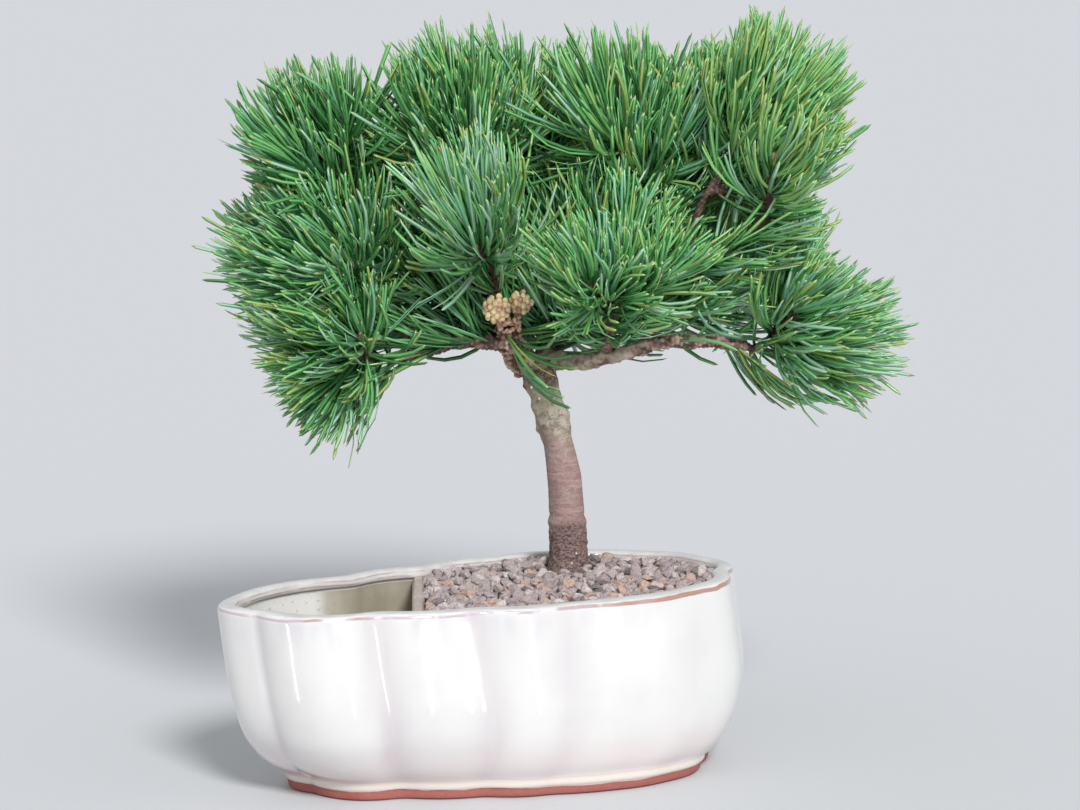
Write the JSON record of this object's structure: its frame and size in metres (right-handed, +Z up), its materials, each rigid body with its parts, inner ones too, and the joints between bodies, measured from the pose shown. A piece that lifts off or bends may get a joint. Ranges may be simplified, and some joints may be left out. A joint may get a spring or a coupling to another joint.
{
  "type": "mugo pine bonsai",
  "caption": "Small mugo pine bonsai, leaning trunk and needle tufts, in a lobed white glazed oval pot with an open water basin at one end",
  "frame": {"origin": "centre of the pot's flat underside", "axes": "+Z up; X along the pot's long axis, its water basin at -X; -Y the front"},
  "size_m": [0.356, 0.2852, 0.3637],
  "materials": {
    "pot_glaze": "glossy milk-white glaze, worn to brown along the rim, bare reddish clay at the foot",
    "soil": "matte purplish-grey gravel",
    "bark": "purple-brown bark, grey-green higher up",
    "scaly_bark": "peeling reddish-brown scales",
    "bough_bark": "dark brown ringed bark",
    "needles": "mid-green needles, yellow-green at the tips",
    "pollen_cones": "cream-yellow papery buds"
  },
  "bodies": {
    "root": {"pot": "pot_glaze", "soil": "soil", "trunk": "bark", "stub": "scaly_bark", "bough_left": "bough_bark", "bough_left_rise": "bough_bark", "bough_upper_left": "bough_bark", "bough_top_left": "bough_bark", "bough_right": "bough_bark", "bough_right_rise": "bough_bark", "bough_right_spur": "bough_bark", "bough_centre_spur": "bough_bark", "bough_crown": "bough_bark", "bough_crown_right": "bough_bark", "bough_crown_back": "bough_bark", "bough_back_right": "bough_bark", "bough_back_centre": "bough_bark", "bough_back_left": "bough_bark", "foliage_lower_left": "needles", "foliage_left": "needles", "foliage_upper_left": "needles", "foliage_top_left": "needles", "foliage_front": "needles", "foliage_centre": "needles", "foliage_top_centre": "needles", "foliage_top_middle": "needles", "foliage_top_right": "needles", "foliage_right": "needles", "foliage_lower_right": "needles", "foliage_back_right": "needles", "foliage_back_left": "needles", "foliage_back_centre": "needles", "foliage_back_top": "needles", "pollen_cones_left": "pollen_cones", "pollen_cones_right": "pollen_cones"}
  },
  "joints": []
}
